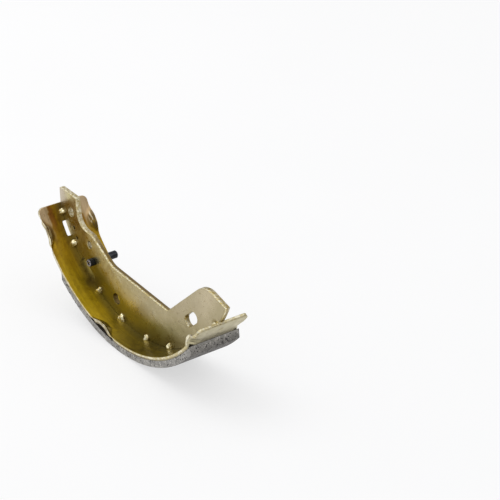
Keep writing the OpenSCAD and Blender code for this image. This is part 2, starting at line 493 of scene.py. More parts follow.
@dataclass(frozen=True)
class PlatedSteel:
    """Yellow-passivated zinc on steel: gold with olive and brown clouds. The given values are the rim's.

    The end towards -X turns brown, and pale again beyond a distance from the middle of the
    shoe; the end towards +X is pale with a painted reflection of the white surroundings.
    Painted shade darkens the colour along the arc of a rolled piece, and towards the rim on a
    flat one. Each weld has a halo of heat tint. A cut wall is burnished at first, partly a
    painted highlight, and broken further through the sheet, partly painted shade. Ranges are
    places along X, but on a flat piece the range of the painted shade, and always that of the
    painted shade at the foot of the tab, are distances from the drum axis.
    """

    name: str
    fit: DrumFit
    rolled: bool = True
    gold: Color = (0.51, 0.365, 0.015)
    olive: Color = (0.41, 0.295, 0.012)
    blush: Color = (0.54, 0.36, 0.03)
    brown: Color = (0.38, 0.215, 0.012)
    mottle: Color = (0.64, 0.56, 0.48)
    grime: Color = (0.55, 0.46, 0.34)
    shade_tone: Color = (0.30, 0.225, 0.025)
    pale: Color = (0.58, 0.43, 0.25)
    rust: Color = (0.28, 0.11, 0.02)
    white_reflection: Color = (0.50, 0.455, 0.295)
    # Dark tint of the heat halo round the welds, also used for the painted reflection of the peg.
    heat_tint_and_peg_reflection: Color = (0.20, 0.14, 0.03)
    web_foot_shadow: Color = (0.22, 0.18, 0.055)
    line_dark: Color = (0.62, 0.56, 0.48)
    line_light: Color = (1.12, 1.1, 1.08)
    # Cut-wall colours: the pale burnish is partly a painted highlight, the broken zone partly painted shade.
    wall: Color = (0.64, 0.55, 0.30)
    fleck_and_glint: Color = (0.90, 0.85, 0.66)
    wall_brown: Color = (0.42, 0.33, 0.14)
    fracture_and_shade: Color = (0.20, 0.15, 0.08)
    brown_range: Range = (-96.0, -40.0)
    shade_range: Range = (-38.0, 4.0)
    shade_start: Range = (-78.0, -45.0)
    shade_end: Range = (58.0, 76.0)
    pale_range: Range = (-94.0, -82.0)
    rust_range: Range = (-93.0, -84.0)
    white_reflection_range: Range = (62.0, 80.0)
    tab_range: Range = (58.0, 74.0)
    foot_shade_range: Range = (90.0, 102.0)
    fracture_shade_start: Range = (-70.0, -45.0)
    fracture_shade_end: Range = (20.0, 60.0)
    pale_from: float = 14.0
    break_at: float = 0.6
    # Angle, depth and place along Y of the painted reflection of the peg.
    peg_reflection_place: tuple[float, float, float] = (-32.0, 0.0, -4.5)
    cloud_size: float = 22.0
    roughness: float = 0.34
    coat: float = 0.15

    def build(self) -> Material:
        """Builds the material."""
        sheet = ShaderSheet(self.name)
        wall = sheet.attribute(CUT_WALL)
        # Streaks along the cut walls, in their relief and as a painted highlight.
        streaks = sheet.span(sheet.pattern(1.9, detail=4.0, roughness=0.6, shift=21.0), 0.40, 0.62)
        end_mask = self._end_mask(sheet)
        self._lay_faces(sheet, end_mask)
        sheet.lay(self._wall_color(sheet, end_mask, streaks), sheet.span(wall, 0.45, 0.95, 0.0, 0.92))
        if self.rolled:
            self._lay_bump_glints(sheet)
        low, high = self.roughness - 0.05, self.roughness + 0.09
        patches = sheet.span(sheet.pattern(5.0, detail=5.0, shift=63.0), 0.3, 0.7, low, high)
        sheet.set(base_color=sheet.color, roughness=sheet.combine("ADD", patches, sheet.times(wall, 0.1)))
        sheet.set(metallic=1.0, coat_weight=self.coat, coat_roughness=0.16, coat_ior=1.5)
        sheet.relief(sheet.pattern(9.0, detail=2.0, shift=11.0), 0.25)
        sheet.relief(sheet.pattern(0.9, detail=4.0, shift=33.0), 0.024)
        sheet.relief(sheet.times(streaks, wall), 0.12)
        return sheet.material

    def _inner_face(self, sheet: ShaderSheet, beyond: float = 0.0) -> NodeSocket:
        """Gives 1 on the inner face of the sheet and a smaller share beyond it."""
        return sheet.span(sheet.attribute(THROUGH_SHEET), 0.1, 0.3, 1.0, beyond)

    def _end_mask(self, sheet: ShaderSheet) -> NodeSocket:
        """Marks the brown end towards -X, with a ragged border; it is fainter on the rim's outer face."""
        border = sheet.ragged(sheet.along("X"), 16.0, 14.0, detail=4.0, shift=90.0)
        mask = sheet.span(border, *self.brown_range, 1.0, 0.0)
        return sheet.times(mask, self._inner_face(sheet, 0.3)) if self.rolled else mask

    def _lay_faces(self, sheet: ShaderSheet, end_mask: NodeSocket) -> None:
        """Lays the colours of the faces, with the given mask for the brown end."""
        sheet.color = self.olive
        sheet.lay(self.gold, sheet.span(sheet.pattern(self.cloud_size, detail=4.0), 0.36, 0.64))
        blush = sheet.pattern(1.6 * self.cloud_size, detail=2.0, shift=40.0)
        sheet.lay(self.blush, sheet.span(blush, 0.5, 0.68, 0.0, 0.65))
        sheet.lay(self.brown, end_mask)
        blotches = sheet.span(sheet.pattern(4.5, detail=4.0, shift=13.0), 0.38, 0.60)
        sheet.lay(sheet.mix(blotches, self.mottle, EVEN), end_mask, 0.75, blend=Blend.MULTIPLY)
        # Painted shade: darker along the arc of the rolled rim, and towards the rim on the web.
        way = sheet.along("X") if self.rolled else sheet.away_from(self.fit.axis_point, IN_SIDE_VIEW)
        shade_tone = sheet.span(sheet.ragged(way, 6.0, 9.0, detail=2.0, shift=55.0), *self.shade_range)
        middle = sheet.along_x(*self.shade_end, 1.0, 0.0), sheet.along_x(*self.shade_start, 0.2, 1.0)
        sheet.lay(self.shade_tone, shade_tone, *middle)
        self._lay_ends(sheet)
        if self.rolled:
            self._lay_rolling_lines(sheet)
        else:
            # Painted shade over the foot of the tab, next to the rim.
            foot = sheet.span(sheet.away_from(self.fit.axis_point, IN_SIDE_VIEW), *self.foot_shade_range, 0.0, 0.3)
            sheet.lay(self.shade_tone, foot, sheet.along_x(*self.tab_range))
        sheet.lay(self.heat_tint_and_peg_reflection, self._heat_mask(sheet))
        grime = sheet.span(sheet.pattern(2.6, detail=6.0, roughness=0.7, shift=7.0), 0.44, 0.30, 0.0, 0.75)
        sheet.lay(self.grime, grime, blend=Blend.MULTIPLY)

    def _lay_ends(self, sheet: ShaderSheet) -> None:
        """Lays the pale corners of the -X end, a rusty stripe beside them, and a painted reflection that
        pales the +X end.
        """
        aside = sheet.ragged(sheet.off_middle(), 4.0, 5.0, shift=37.0)
        border, inside = self.pale_from, self._inner_face(sheet) if self.rolled else 1.0
        corners = sheet.span(aside, border, border + 2.0)
        sheet.lay(self.pale, corners, sheet.along_x(*self.pale_range, 1.0, 0.0), inside)
        if self.rolled:
            stripe = sheet.span(aside, border, border + 1.5, 1.0, 0.0)
            start = sheet.span(aside, border - 3.5, border - 1.5)
            sheet.lay(self.rust, stripe, start, sheet.along_x(*self.rust_range, 0.85, 0.0), inside)
        # Painted reflection of the white surroundings, paling the +X end.
        sheet.lay(self.white_reflection, sheet.along_x(*self.white_reflection_range, 0.0, 0.9))

    def _lay_rolling_lines(self, sheet: ShaderSheet) -> None:
        """Lays faint lines along the arc, a painted reflection on the outer face, and on the inner one a
        painted shadow band beside the web and a painted reflection of the peg.
        """
        lines = sheet.span(sheet.pattern(1.0, stretch=(0.02, 0.4, 0.0), rolled=True), 0.44, 0.58)
        sheet.lay(sheet.mix(lines, self.line_dark, self.line_light), 0.36, blend=Blend.MULTIPLY)
        # Painted reflection that pales the rim's outer face.
        sheet.lay(self.white_reflection, sheet.span(sheet.attribute(THROUGH_SHEET), 0.6, 0.9, 0.0, 0.6))
        inside = self._inner_face(sheet)
        # Painted shadow band on the inner face, along both sides of the web's foot.
        sheet.lay(self.web_foot_shadow, sheet.span(sheet.off_middle(), 2.2, 9.0, 0.7, 0.0), inside)
        # Painted reflection of the peg: a dark soft spot on the inner face below it.
        away = sheet.away_from(self.fit.at(*self.peg_reflection_place))
        sheet.lay(self.heat_tint_and_peg_reflection, sheet.span(away, 1.5, 6.5, 0.75, 0.0), inside)

    def _heat_mask(self, sheet: ShaderSheet) -> NodeSocket:
        """Marks the halo round every weld."""
        halo = (1.0, 0.9, 1.0)
        nearest, *others = (sheet.away_from(self.fit.at(angle, 2.0), halo) for angle in self.fit.weld_angles)
        for other in others:
            nearest = sheet.combine("MINIMUM", nearest, other)
        return sheet.span(sheet.ragged(nearest, 3.0, 2.0, shift=48.0), 4.0, 6.5, 0.75, 0.0)

    def _wall_color(self, sheet: ShaderSheet, end_mask: NodeSocket, streaks: NodeSocket) -> NodeSocket:
        """Mixes the colour of the cut walls, whose burnish is partly a painted highlight, with masks for the
        brown end and the bright streaks, and a broken zone that is partly painted shade.
        """
        color = sheet.mix(end_mask, self.wall, self.wall_brown)
        color = sheet.mix(streaks, color, self.fleck_and_glint)
        through = sheet.attribute(THROUGH_SHEET)
        depth = sheet.ragged(through, 0.5, 1.2, detail=4.0, roughness=0.7, shift=29.0)
        fracture_and_shade = sheet.span(depth, self.break_at + 0.2, self.break_at + 0.34)
        share = sheet.along_x(*self.fracture_shade_end, 1.0, 0.6)
        share = sheet.times(share, sheet.along_x(*self.fracture_shade_start, 0.3, 1.0))
        share = sheet.combine("MAXIMUM", share, sheet.span(through, 0.98, 1.0))
        return sheet.mix(sheet.times(fracture_and_shade, share), color, self.fracture_and_shade)

    def _lay_bump_glints(self, sheet: ShaderSheet) -> None:
        """Lays painted highlights and painted dark reflection streaks over the pressed bumps."""
        pressed = sheet.span(sheet.attribute(PRESSED), 0.1, 0.4, 0.0, 0.85)
        glint_streaks = sheet.pattern(1.0, detail=2.0, stretch=(0.12, 0.75, 0.75), shift=71.0, rolled=True)
        sheet.lay(self.fleck_and_glint, sheet.span(glint_streaks, 0.51, 0.57), pressed)
        sheet.lay(self.fracture_and_shade, sheet.span(glint_streaks, 0.48, 0.41), pressed)


@dataclass(frozen=True)
class WeldMetal:
    """Bright, slightly scaly weld metal under the same plating."""

    name: str = "weld_metal"
    bright: Color = (0.95, 0.89, 0.62)
    dull: Color = (0.60, 0.49, 0.19)

    def build(self) -> Material:
        """Builds the material."""
        sheet = ShaderSheet(self.name)
        scale = sheet.span(sheet.pattern(1.1, detail=4.0), 0.36, 0.56)
        sheet.set(base_color=sheet.mix(scale, self.dull, self.bright))
        sheet.set(roughness=sheet.span(sheet.pattern(0.8, shift=5.0), 0.3, 0.7, 0.22, 0.42))
        sheet.set(metallic=1.0, coat_weight=0.5, coat_roughness=0.1)
        sheet.relief(sheet.pattern(0.8, detail=4.0, shift=9.0), 0.12)
        return sheet.material


@dataclass(frozen=True)
class FrictionCompound:
    """Moulded friction compound: mid-grey, dry, with specks, painted shade on the friction face and its +X
    end, and dark adhesive, also painted shade, where it is bonded.
    """

    fit: DrumFit
    name: str = "friction_compound"
    grey: Color = (0.415, 0.40, 0.37)
    shade: Color = (0.300, 0.290, 0.270)
    pale: Color = (0.72, 0.69, 0.64)
    dark: Color = (0.045, 0.043, 0.044)
    dust_dark: Color = (0.25, 0.25, 0.25)
    dust_light: Color = (0.8, 0.8, 0.8)
    friction_face_shade: Color = (0.60, 0.60, 0.61)
    end_shadow: Color = (0.42, 0.375, 0.315)
    adhesive_and_shade: Color = (0.035, 0.028, 0.022)

    def build(self) -> Material:
        """Builds the material."""
        sheet = ShaderSheet(self.name)
        sheet.color = self.shade
        sheet.lay(self.grey, sheet.span(sheet.pattern(7.0, detail=4.0), 0.35, 0.65))
        pale_grains = sheet.span(sheet.cells(1.3), 0.40, 0.28, 0.0, 0.8)
        sheet.lay(self.pale, pale_grains, sheet.span(sheet.pattern(2.2, detail=2.0, shift=14.0), 0.44, 0.54))
        dark_grains = sheet.span(sheet.cells(1.6, shift=31.0), 0.42, 0.30, 0.0, 0.9)
        pits = sheet.times(dark_grains, sheet.span(sheet.pattern(3.0, detail=2.0, shift=52.0), 0.45, 0.54))
        sheet.lay(self.dark, pits)
        dust = sheet.pattern(0.5, roughness=0.7, shift=77.0)
        dusty = sheet.mix(sheet.span(dust, 0.3, 0.7), self.dust_dark, self.dust_light)
        sheet.lay(dusty, 0.45, blend=Blend.OVERLAY)
        # Painted shade on the friction face.
        sheet.lay(self.friction_face_shade, sheet.attribute(FRICTION_FACE), blend=Blend.MULTIPLY)
        # Painted shadow over the +X end.
        sheet.lay(self.end_shadow, sheet.along_x(79.0, 93.0), blend=Blend.MULTIPLY)
        # Dark adhesive on the bonded face, which also stands as painted shade in the hollows under the rim's
        # bumps.
        radius, bond = sheet.away_from(self.fit.axis_point, IN_SIDE_VIEW), self.fit.rim_outside
        sheet.lay(self.adhesive_and_shade, sheet.span(radius, bond + 0.06, bond + 0.22, 1.0, 0.0))
        sheet.set(base_color=sheet.color, roughness=0.92, specular_ior_level=0.25)
        sheet.relief(sheet.pattern(2.4, detail=4.0, shift=17.0), 0.22)
        sheet.relief(dust, 0.12)
        sheet.relief(sheet.combine("SUBTRACT", pale_grains, pits), 0.10)
        return sheet.material


@dataclass(frozen=True)
class BlackenedSteel:
    """Blackened spring steel of the peg: nearly black, a little blue, oily sheen, with a painted highlight on
    its ends.
    """

    name: str = "blackened_steel"
    black: Color = (0.015, 0.017, 0.021)
    rubbed: Color = (0.075, 0.080, 0.092)
    end_highlight: Color = (0.60, 0.56, 0.60)

    def build(self) -> Material:
        """Builds the material."""
        sheet = ShaderSheet(self.name)
        rubs = sheet.span(sheet.pattern(1.6, detail=5.0, stretch=(1.0, 0.3, 1.0)), 0.5, 0.72)
        # Painted highlight on the ends of the peg, in patches.
        patches = sheet.span(sheet.pattern(0.9, shift=8.0), 0.35, 0.6)
        patches = sheet.times(sheet.attribute(HIGHLIGHT_ENDS), patches)
        sheet.set(base_color=sheet.mix(patches, sheet.mix(rubs, self.black, self.rubbed), self.end_highlight))
        sheet.set(metallic=sheet.span(patches, 0.0, 1.0, 0.35, 0.9))
        sheet.set(roughness=sheet.span(sheet.pattern(2.5, detail=4.0, shift=19.0), 0.3, 0.7, 0.34, 0.52))
        sheet.set(specular_ior_level=0.3)
        sheet.relief(sheet.pattern(0.5, shift=3.0), 0.03)
        return sheet.material


# Pieces


@dataclass(frozen=True)
class Bump:
    """One raised bump, the same on both edges of the rim: where it is, its length and its rise."""

    angle: float
    length: float
    rise: float


@dataclass(frozen=True)
class EdgeBumps:
    """Raised bumps along both edges of the rim, where the shoe slides on its backing."""

    bumps: tuple[Bump, ...] = (Bump(-55.0, 24.5, 3.9), Bump(-11.0, 26.0, 4.1), Bump(51.4, 19.0, 4.0))
    reach: float = 5.5
    blend: float = 0.11
    flank: float = 0.85

    def lift(self, along: float, across: float, fit: DrumFit) -> float:
        """Gives how far the sheet is lifted towards the drum axis at a place of the flat blank."""
        gap = (fit.width / 2.0 - abs(across)) / self.reach
        total = 0.0
        for bump in self.bumps:
            offset = abs(along - fit.arc(bump.angle)) / (bump.length / 2.0)
            wave = smooth_step((1.0 - offset) / self.flank)
            total += bump.rise * self.soft_ramp(wave - gap) * smooth_step((1.25 - offset) / 0.3)
        return total

    def soft_ramp(self, value: float) -> float:
        """Holds a number above 0, with a soft bend at 0."""
        if value <= -self.blend:
            return 0.0
        if value >= self.blend:
            return value
        return (value + self.blend) ** 2 / (4.0 * self.blend)


@dataclass(frozen=True)
class Rim:
    """Curved strip of sheet steel that carries the lining, with its edge bumps and window."""

    fit: DrumFit
    finish: PlatedSteel
    left: float = 65.0
    right: float = 59.0
    left_corner: float = 4.0
    right_corner: float = 3.5
    bumps: EdgeBumps = EdgeBumps()
    window_angle: float = -55.0
    window_length: float = 11.0
    window_width: float = 8.6
    window_corner: float = 1.0
    edge_radius: float = 0.32
    mark_radius: float = 2.5
    mark_depth: float = 0.42
    press_full: float = 4.0
    ripple: float = 0.05

    def build(self) -> Object:
        """Cuts the blank, slices it and rolls it to its curve."""
        bm = bmesh.new()
        self._draw_blank(bm)
        thicken(bm, fill_outline(bm), -AXIS_Z * self.fit.sheet, self.edge_radius)
        slice_mesh(bm, AXIS_X, self._steps_along())
        slice_mesh(bm, AXIS_Y, self._steps_across())
        mark_cut_walls(bm, -AXIS_Z, self.fit.sheet)
        pressed = bm.verts.layers.float.new(PRESSED)
        flat_place = bm.verts.layers.float_vector.new(FLAT_PLACE)
        for vert in bm.verts:
            vert[flat_place] = vert.co
            if vert.co.z > -self.edge_radius:
                vert[pressed] = self.bumps.lift(vert.co.x, vert.co.y, self.fit) / self.press_full
            vert.co = self._rolled(vert.co)
        return finish_piece("rim_strip", bm, self.finish.build())

    def _draw_blank(self, bm: BMesh) -> None:
        """Draws the outline of the flat blank and of its window."""
        left, right, half = self.fit.arc(-self.left), self.fit.arc(self.right), self.fit.width / 2.0
        blank = [Vector((right if x > 0 else left, y * half, 0.0)) for x, y in SQUARE]
        draw_outline(bm, blank, [self.right_corner if x > 0 else self.left_corner for x, _ in SQUARE])
        middle, reach, side = self.fit.arc(self.window_angle), self.window_length, self.window_width
        window = [Vector((middle + x * reach / 2.0, y * side / 2.0, 0.0)) for x, y in SQUARE]
        draw_outline(bm, window, [self.window_corner] * 4, segments=4)

    def _steps_along(self) -> list[float]:
        """Places of the cuts along the arc, about a millimetre apart."""
        left, right = self.fit.arc(-self.left), self.fit.arc(self.right)
        count = round(right - left)
        return [left + (right - left) * step / count for step in range(1, count)]

    def _steps_across(self) -> list[float]:
        """Places of the cuts across the strip, closer near the edges and the web."""
        half = self.fit.width / 2.0
        near_edge = [half - 0.75 - 0.55 * step for step in range(15)]
        middle = [0.45 + 0.8 * step for step in range(5)]
        between = [near_edge[-1] - 1.4 * step for step in range(1, 5)]
        places = near_edge + middle + between
        return sorted(places + [-place for place in places])

    def _face_point(self, along: float, across: float) -> Vector:
        """Finds a point of the rolled inner face, bumps included."""
        radius = self.fit.rim_inside - self.bumps.lift(along, across, self.fit)
        radius += self.ripple * noise.noise(Vector((along / 18.0, across / 9.0, 4.0)))
        return self.fit.on_radius(math.degrees(along / self.fit.rim_inside), radius, across)

    def _rolled(self, flat: Vector) -> Vector:
        """Rolls one point of the flat blank to its place on the shoe.

        Args:
            flat: Place along the arc, across the strip, and below the inner face.

        Returns:
            The point. The sheet keeps its thickness square to its face, and every point its
            place along Y, so that the edges stay upright.
        """
        along, across, below = flat
        dent = self._mark(along, across) if below < -self.fit.sheet + 1e-3 else 0.0
        start = across
        for _ in range(4):
            rolled = self._offset_point(along, start, below + dent)
            start += across - rolled.y
        return rolled

    def _offset_point(self, along: float, across: float, below: float) -> Vector:
        """Finds a point square below the rolled inner face, which has a negative depth."""
        step = 0.05
        forward = self._face_point(along + step, across) - self._face_point(along - step, across)
        sideways = self._face_point(along, across + step) - self._face_point(along, across - step)
        return self._face_point(along, across) - sideways.cross(forward).normalized() * below

    def _mark(self, along: float, across: float) -> float:
        """Gives the depth of the spot mark that a weld leaves in the outer face."""
        for angle in self.fit.weld_angles:
            distance = math.hypot(along - self.fit.arc(angle), across) / self.mark_radius
            if distance < 1.0:
                return self.mark_depth * smooth_step(1.3 * (1.0 - distance))
        return 0.0


@dataclass(frozen=True)
class Corner:
    """One corner of the web's outline."""

    angle: float
    depth: float
    rounding: float = 0.0


@dataclass(frozen=True)
class Web:
    """Upright plate with its fin, tab, holes and slot, and a relief in its foot.

    A hole has an angle, a depth and a width; the slot has a length before its width.
    """

    fit: DrumFit
    finish: PlatedSteel
    corners: tuple[Corner, ...] = (
        Corner(-60.5, -3.0),
        Corner(-71.0, 5.0, 0.5),
        Corner(-65.8, 23.7, 2.0),
        Corner(-53.4, 15.3, 10.0),
        Corner(-46.3, 26.9, 6.0),
        Corner(-26.0, 30.0, 15.0),
        Corner(23.8, 25.8, 1.5),
        Corner(63.8, 24.0, 15.0),
        Corner(67.1, -17.8),
    )
    holes: tuple[tuple[float, float, float], ...] = (
        (-17.0, 10.8, 8.0),
        (-60.2, 12.0, 7.0),
        (-43.3, 19.5, 5.5),
        (-53.8, 8.4, 2.7),
        (-49.6, 7.0, 2.7),
        (-36.8, 13.4, 5.1),
    )
    slot: tuple[float, float, float, float] = (41.4, 16.2, 16.0, 8.0)
    relief_angle: float = -37.0
    relief_length: float = 18.0
    relief_height: float = 5.0
    relief_corner: float = 2.0
    foot_step: float = 1.5
    hole_sides: int = 48
    edge_radius: float = 0.34

    def build(self) -> Object:
        """Draws the side view with its holes and gives it its thickness."""
        bm = bmesh.new()
        self._draw_outline(bm)
        for angle, depth, width in self.holes:
            self._draw_hole(bm, self.fit.at(angle, depth), width / 2.0)
        self._draw_slot(bm)
        thickness = self.fit.web_thickness
        thicken(bm, fill_outline(bm), AXIS_Y * thickness, self.edge_radius)
        mark_cut_walls(bm, AXIS_Y, thickness)
        self._darken_holes(bm)
        bmesh.ops.translate(bm, verts=bm.verts[:], vec=-AXIS_Y * thickness / 2.0)
        return finish_piece("web_plate", bm, self.finish.build())

    def _darken_holes(self, bm: BMesh) -> None:
        """Paints shade into the walls of the holes by marking them as broken, those of the small holes all
        the way through.
        """
        through = bm.verts.layers.float[THROUGH_SHEET]
        for angle, depth, width in self.holes:
            middle = self.fit.at(angle, depth)
            least = 1.0 if width < self.fit.web_thickness else 0.5
            for vert in bm.verts:
                if math.hypot(vert.co.x - middle.x, vert.co.z - middle.z) < width / 2.0 + 0.05:
                    vert[through] = max(vert[through], least)

    def _foot_point(self, above: Vector, below: Vector) -> Vector:
        """Finds where a line from above to below the inner face of the rim meets that face."""
        low, high = 0.0, 1.0
        for _ in range(40):
            middle = (low + high) / 2.0
            outside = (above.lerp(below, middle) - self.fit.axis_point).length > self.fit.rim_inside
            low, high = (low, middle) if outside else (middle, high)
        return above.lerp(below, low)

    def _draw_outline(self, bm: BMesh) -> None:
        """Draws the outline: rounded corners above, arcs of the rim's face and the relief below."""
        upper = [self.fit.at(corner.angle, corner.depth) for corner in self.corners]
        upper[0] = self._foot_point(upper[1], upper[0])
        upper[-1] = self._foot_point(upper[-2], upper[-1])
        turn, axis_point = self.fit.tilt(self.relief_angle), self.fit.axis_point
        half = self.relief_length / 2.0
        shelf, feet = (
            [turn @ Vector((x, 0.0, z)) + axis_point for x in (half, -half)]
            for z in (self.relief_height - self.fit.rim_inside, -self.fit.friction_radius)
        )
        relief = [self._foot_point(shelf[0], feet[0]), *shelf, self._foot_point(shelf[1], feet[1])]
        radii = [corner.rounding for corner in self.corners]
        radii += [0.0, self.relief_corner, self.relief_corner, 0.0]
        corners = draw_outline(bm, upper + relief, radii)
        count = len(upper)
        self._spin_arc(bm, corners[count - 1], corners[count])
        self._spin_arc(bm, corners[-1], corners[0])

    def _spin_arc(self, bm: BMesh, start: BMVert, end: BMVert) -> None:
        """Puts an arc round the drum axis in the place of a straight edge."""
        chord = next(edge for edge in start.link_edges if edge.other_vert(start) is end)
        axis_point = self.fit.axis_point
        turn = (start.co - axis_point).angle(end.co - axis_point)
        bmesh.ops.delete(bm, geom=[chord], context="EDGES")
        if not start.is_valid or not end.is_valid:
            raise ValueError("a corner of the foot went with its edge")
        steps = max(2, round(turn * self.fit.rim_inside / self.foot_step))
        spin(bm, [start], axis_point, AXIS_Y, turn, steps)

    def _draw_hole(self, bm: BMesh, middle: Vector, radius: float) -> None:
        """Draws one round hole in the side view."""
        stand = Matrix.Translation(middle) @ Matrix.Rotation(math.pi / 2.0, 4, "X")
        bmesh.ops.create_circle(bm, segments=self.hole_sides, radius=radius, matrix=stand)

    def _draw_slot(self, bm: BMesh) -> None:
        """Draws the slot of the tab, with round ends."""
        angle, depth, length, width = self.slot
        turn, middle = self.fit.tilt(angle), self.fit.at(angle, depth)
        ring = [middle + turn @ Vector((x * length / 2.0, 0.0, z * width / 2.0)) for x, z in SQUARE]
        draw_outline(bm, ring, [width / 2.0 - 0.02] * 4, segments=10)


@dataclass(frozen=True)
class WeldBeads:
    """Small lumps of weld metal in the corners between the web and the rim."""

    fit: DrumFit
    finish: WeldMetal
    radius: float = 2.6
    off_web: float = 0.1
    above_rim: float = 0.2

    def build(self) -> Object:
        """Sets an uneven lump at every weld, on both sides of the web."""
        bm = bmesh.new()
        for number, angle in enumerate(self.fit.weld_angles):
            for side in Side:
                self._add_bead(bm, angle, side, 3.0 * number + side.value)
        return finish_piece("weld_beads", bm, self.finish.build(), sharp_above=180.0)

    def _add_bead(self, bm: BMesh, angle: float, side: Side, seed: float) -> None:
        """Adds one lump at an angle, on one side of the web, with a seed for its shape."""
        across = side.value * (self.fit.web_thickness / 2.0 + self.off_web)
        middle = self.fit.at(angle, self.above_rim, across)
        place = Matrix.Translation(middle) @ self.fit.tilt(angle).to_4x4()
        lump = bmesh.ops.create_icosphere(bm, subdivisions=4, radius=self.radius)["verts"]
        long_way = 1.0 + 0.35 * noise.noise(Vector((seed, 1.5, 0.0)))
        upright = 1.25 + 0.4 * noise.noise(Vector((0.0, seed, 4.5)))
        for vert in lump:
            way = vert.co.normalized()
            swell = 1.0 + 0.34 * noise.noise(way * 1.2 + Vector((seed, 0.0, 7.0)))
            swell += 0.12 * noise.noise(way * 3.2 + Vector((0.0, seed, 3.0)))
            height = vert.co.z * (upright if vert.co.z > 0.0 else 0.7)
            vert.co = Vector((vert.co.x * long_way, vert.co.y * 0.95, height)) * swell
        bmesh.ops.transform(bm, matrix=place, verts=lump)


@dataclass(frozen=True)
class Lining:
    """Arc of friction compound with a full bevel at each end and slightly chipped edges."""

    fit: DrumFit
    finish: FrictionCompound
    left: float = 40.0
    right: float = 49.5
    bevel: float = 4.5
    width: float = 38.4
    chip: float = 0.30
    spare: float = 2.0
    edge: float = 0.45
    steps: int = 190
    cut_step: float = 1.22

    def build(self) -> Object:
        """Spins the section round the drum axis and cuts the two bevelled ends."""
        bm = bmesh.new()
        half, start = self.width / 2.0, -self.left - self.spare
        radii = [self.fit.friction_radius if x > 0 else self.fit.rim_outside for x, _ in SQUARE]
        section = [self.fit.on_radius(start, radius, y * half) for radius, (_, y) in zip(radii, SQUARE)]
        draw_face(bm, section, [self.edge if x > 0 else 0.0 for x, _ in SQUARE], segments=3)
        turn = math.radians(self.left + self.right + 2.0 * self.spare)
        spin(bm, bm.faces[:], self.fit.axis_point, -AXIS_Y, turn, self.steps)
        self._cut_end(bm, -self.left, 1.0)
        self._cut_end(bm, self.right, -1.0)
        slice_mesh(bm, AXIS_Y, [-half + 0.9 + step * self.cut_step for step in range(31)])
        bmesh.ops.recalc_face_normals(bm, faces=bm.faces[:])
        self._roughen(bm)
        return finish_piece("lining_arc", bm, self.finish.build(), sharp_above=35.0)

    def _cut_end(self, bm: BMesh, angle: float, inward: float) -> None:
        """Cuts the end at an angle along its bevel and closes it; inward is 1 at the -X end, or else -1."""
        lean = math.degrees(math.atan(self.bevel / self.fit.lining_thickness))
        along_cut = self.fit.on_radius(angle + inward * lean, 1.0) - self.fit.axis_point
        waste_side = (AXIS_Y * inward).cross(along_cut).normalized()
        cut = bmesh.ops.bisect_plane(
            bm,
            geom=everything(bm),
            dist=1e-4,
            plane_co=self.fit.on_radius(angle, self.fit.rim_outside),
            plane_no=waste_side,
            clear_outer=True,
        )
        bmesh.ops.edgeloop_fill(bm, edges=[edge for edge in cut["geom_cut"] if isinstance(edge, BMEdge)])

    def _roughen(self, bm: BMesh) -> None:
        """Makes the free faces a little uneven, marks the friction face and chips its edges."""
        bm.normal_update()
        layer = bm.verts.layers.float.new(FRICTION_FACE)
        inner = self.fit.rim_outside + 0.05
        for vert in bm.verts:
            away = vert.co - self.fit.axis_point
            reach = math.hypot(away.x, away.z)
            if reach < inner:
                continue
            vert[layer] = smooth_step(1.6 * vert.normal.dot(Vector((away.x, 0.0, away.z)).normalized()))
            uneven = 0.05 * noise.noise(vert.co / 3.0)
            near_side = smooth_step((abs(vert.co.y) - self.width / 2.0 + 0.6) / 0.5)
            near_face = smooth_step((reach - self.fit.friction_radius + 0.7) / 0.5)
            bite = max(0.0, noise.noise(vert.co / 2.2 + Vector((9.0, 0.0, 0.0))) - 0.08)
            vert.co += vert.normal * (min(uneven, 0.0) - near_side * near_face * self.chip * 2.0 * bite)


